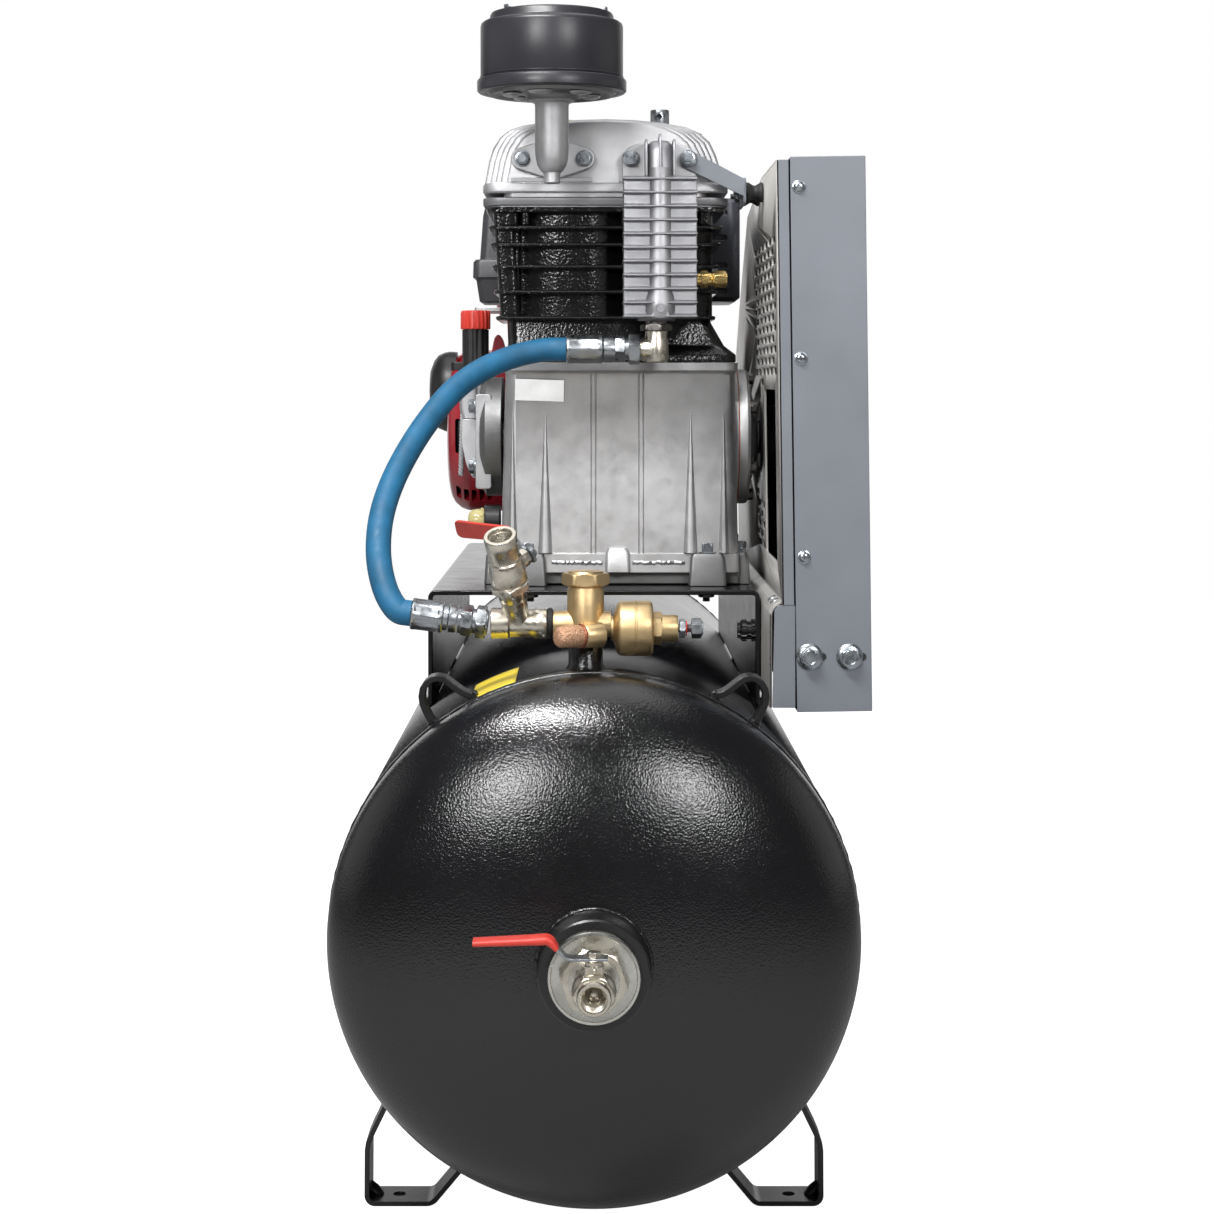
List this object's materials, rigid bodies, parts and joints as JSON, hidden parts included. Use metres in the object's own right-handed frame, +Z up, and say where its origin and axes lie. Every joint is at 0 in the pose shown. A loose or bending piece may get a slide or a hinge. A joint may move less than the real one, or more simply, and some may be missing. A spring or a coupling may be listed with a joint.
{
  "type": "air compressor",
  "caption": "Petrol-driven belt compressor: finned piston pump, guard and engine on a horizontal air receiver with feet, hose and valves.",
  "frame": {"origin": "centre of the machine's bounding box in plan, on the ground under the feet", "axes": "+Z up, +Y along the receiver towards the engine end, +X towards the belt guard"},
  "size_m": [0.526, 1.643, 1.221],
  "materials": {
    "black_coat": "semi-gloss textured powder coat",
    "grey_coat": "satin powder coat",
    "black_enamel": "gloss enamel over rough casting",
    "charcoal_coat": "satin paint",
    "red_coat": "gloss paint",
    "cast_aluminium": "as cast, shot-blasted",
    "cast_iron": "machined and painted",
    "zinc": "bright zinc plate",
    "nickel": "nickel plate on brass",
    "brass": "raw",
    "bronze": "sintered",
    "steel": "machined",
    "red_plastic": "dipped or moulded",
    "black_plastic": "moulded, fine grain",
    "rubber": "matt",
    "blue_hose": "cloth-marked hose cover"
  },
  "bodies": {
    "frame": {"tank_shell": "black_coat", "front_dished_end": "black_coat", "rear_dished_end": "black_coat", "foot_front_left": "black_coat", "foot_front_right": "black_coat", "foot_rear_left": "black_coat", "foot_rear_right": "black_coat", "lifting_eye_left": "black_coat", "lifting_eye_right": "black_coat", "front_socket": "black_coat", "reducer_flange": "zinc", "outlet_valve_body": "nickel", "check_valve_body": "brass", "check_valve_cap": "brass", "unloader_filter": "bronze", "unloader_body": "brass", "service_tee": "nickel", "service_valve_body": "nickel", "hose_tail": "zinc", "discharge_hose": "blue_hose", "delivery_elbow": "zinc", "platform": "black_coat", "crankcase": "cast_aluminium", "right_bearing_cover": "cast_aluminium", "left_bearing_cover": "cast_aluminium", "cylinder_block": "black_enamel", "valve_plate": "cast_aluminium", "cylinder_head": "cast_aluminium", "intake_pipe": "cast_aluminium", "filter_base": "charcoal_coat", "filter_cover": "charcoal_coat", "aftercooler": "cast_aluminium", "safety_valve": "brass", "oil_filler_tube": "black_plastic", "oil_sight_glass": "brass", "belt_guard_panel": "grey_coat", "belt_guard_cover": "grey_coat", "guard_stay": "grey_coat", "guard_mount_front": "rubber", "guard_mount_rear": "rubber", "drive_belts": "rubber", "engine_block": "cast_aluminium", "recoil_starter": "red_coat", "fuel_tank": "red_coat", "air_cleaner": "black_plastic", "muffler": "charcoal_coat"},
    "outlet_handle": {"outlet_valve_ball": "steel", "outlet_valve_lever": "red_plastic"},
    "service_handle": {"service_valve_lever": "red_plastic"},
    "crank": {"crankshaft": "steel", "flywheel": "cast_iron"},
    "motor_pulley": {"engine_pulley": "cast_iron"},
    "low_piston": {"piston_low_stage": "cast_aluminium"},
    "high_piston": {"piston_high_stage": "cast_aluminium"},
    "filter_nut": {"filter_wing_nut": "zinc"},
    "oil_cap": {"oil_filler_cap": "red_plastic"},
    "tank_cap": {"fuel_cap": "black_plastic"},
    "pressure_screw": {"unloader_screw": "zinc"},
    "throttle": {"throttle_lever": "steel"},
    "drain": {"drain_valve": "brass"}
  },
  "joints": [
    {"name": "outlet_lever_turn", "type": "hinge", "parent": "frame", "child": "outlet_handle", "pos_m": [-0.01299, -0.7925, 0.3], "axis": [0, 0, 1], "range_deg": [0, 90]},
    {"name": "service_lever_turn", "type": "hinge", "parent": "frame", "child": "service_handle", "pos_m": [-0.09478, -0.59015, 0.64616], "axis": [0.7167, 0.5324, 0.4505], "range_deg": [0, 90]},
    {"name": "flywheel_spin", "type": "hinge", "parent": "frame", "child": "crank", "pos_m": [-0.01299, -0.1975, 0.762], "axis": [1, 0, 0], "continuous": true},
    {"name": "engine_pulley_spin", "type": "hinge", "parent": "frame", "child": "motor_pulley", "pos_m": [-0.01299, 0.1275, 0.762], "axis": [1, 0, 0], "continuous": true},
    {"name": "low_piston_stroke", "type": "slide", "parent": "frame", "child": "low_piston", "axis": [0, 0, 1], "range_m": [-0.06, 0]},
    {"name": "high_piston_stroke", "type": "slide", "parent": "frame", "child": "high_piston", "axis": [0, 0, 1], "range_m": [0, 0.06]},
    {"name": "filter_nut_turn", "type": "hinge", "parent": "frame", "child": "filter_nut", "pos_m": [-0.05649, -0.3675, 1.216], "axis": [0, 0, 1], "continuous": true},
    {"name": "oil_cap_turn", "type": "hinge", "parent": "frame", "child": "oil_cap", "pos_m": [-0.14399, -0.1975, 0.832], "axis": [0, 0, 1], "range_deg": [0, 360]},
    {"name": "fuel_cap_turn", "type": "hinge", "parent": "frame", "child": "tank_cap", "pos_m": [-0.05299, 0.1775, 1.0383], "axis": [0, 0, 1], "range_deg": [0, 90]},
    {"name": "pressure_screw_turn", "type": "hinge", "parent": "frame", "child": "pressure_screw", "pos_m": [-0.02099, -0.5575, 0.587], "axis": [1, 0, 0], "range_deg": [-360, 360]},
    {"name": "throttle_turn", "type": "hinge", "parent": "frame", "child": "throttle", "pos_m": [-0.01299, 0.0125, 0.862], "axis": [1, 0, 0], "range_deg": [-30, 30]},
    {"name": "drain_turn", "type": "hinge", "parent": "frame", "child": "drain", "pos_m": [-0.01299, 0.0395, 0.05], "axis": [0, 0, 1], "range_deg": [0, 360]}
  ],
  "couplings": [
    {"joint": "engine_pulley_spin", "follows": "flywheel_spin", "ratio": 3.1538}
  ]
}
